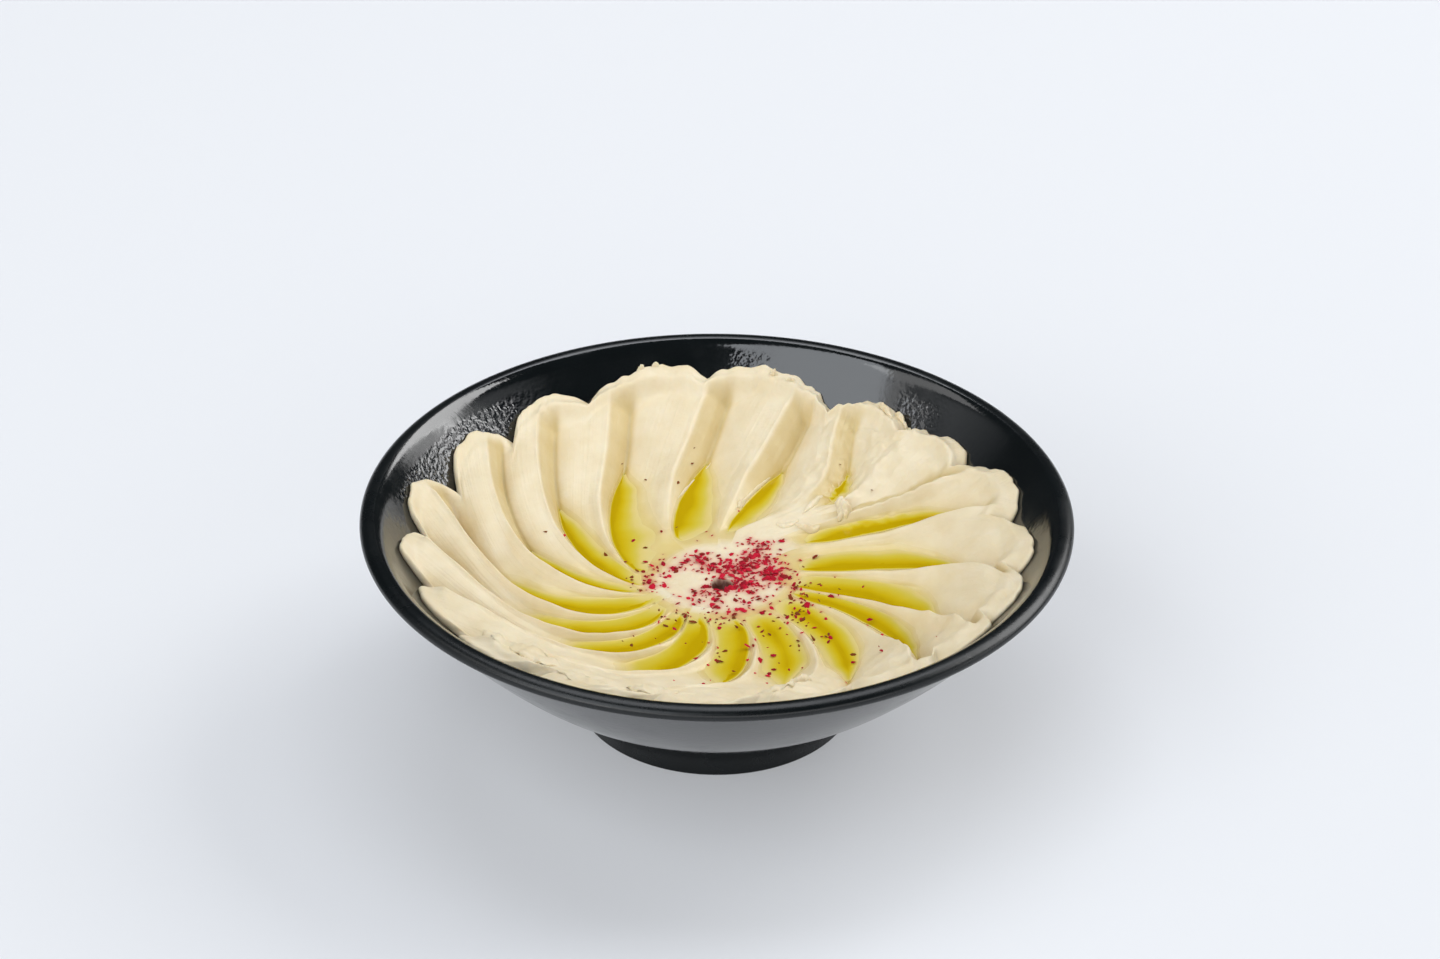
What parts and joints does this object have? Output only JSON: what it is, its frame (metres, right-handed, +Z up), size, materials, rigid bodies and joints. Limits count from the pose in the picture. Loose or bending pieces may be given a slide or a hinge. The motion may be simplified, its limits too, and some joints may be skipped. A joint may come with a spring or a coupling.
{
  "type": "hummus bowl",
  "caption": "Black footed bowl of hummus swirled into curved spoon folds, with pools of olive oil in the grooves and a red spice dusting in the middle.",
  "frame": {"origin": "middle of the foot ring's underside, where the bowl's axis meets the table", "axes": "+Z up along the bowl's axis, -Y towards the front, +X to the right"},
  "size_m": [0.21, 0.21, 0.0677],
  "materials": {
    "bowl": "glossy black melamine",
    "hummus": "smooth moist chickpea paste",
    "oil": "clear yellow-green olive oil over paste"
  },
  "bodies": {
    "root": {"bowl": "bowl", "hummus": "hummus", "oil_pool_01": "oil", "oil_pool_02": "oil", "oil_pool_03": "oil", "oil_pool_04": "oil", "oil_pool_05": "oil", "oil_pool_06": "oil", "oil_pool_07": "oil", "oil_pool_08": "oil", "oil_pool_09": "oil", "oil_pool_10": "oil", "oil_pool_11": "oil", "oil_pool_12": "oil", "oil_pool_13": "oil", "oil_pool_14": "oil", "oil_pool_15": "oil", "oil_pool_16": "oil", "oil_pool_17": "oil"}
  },
  "joints": []
}
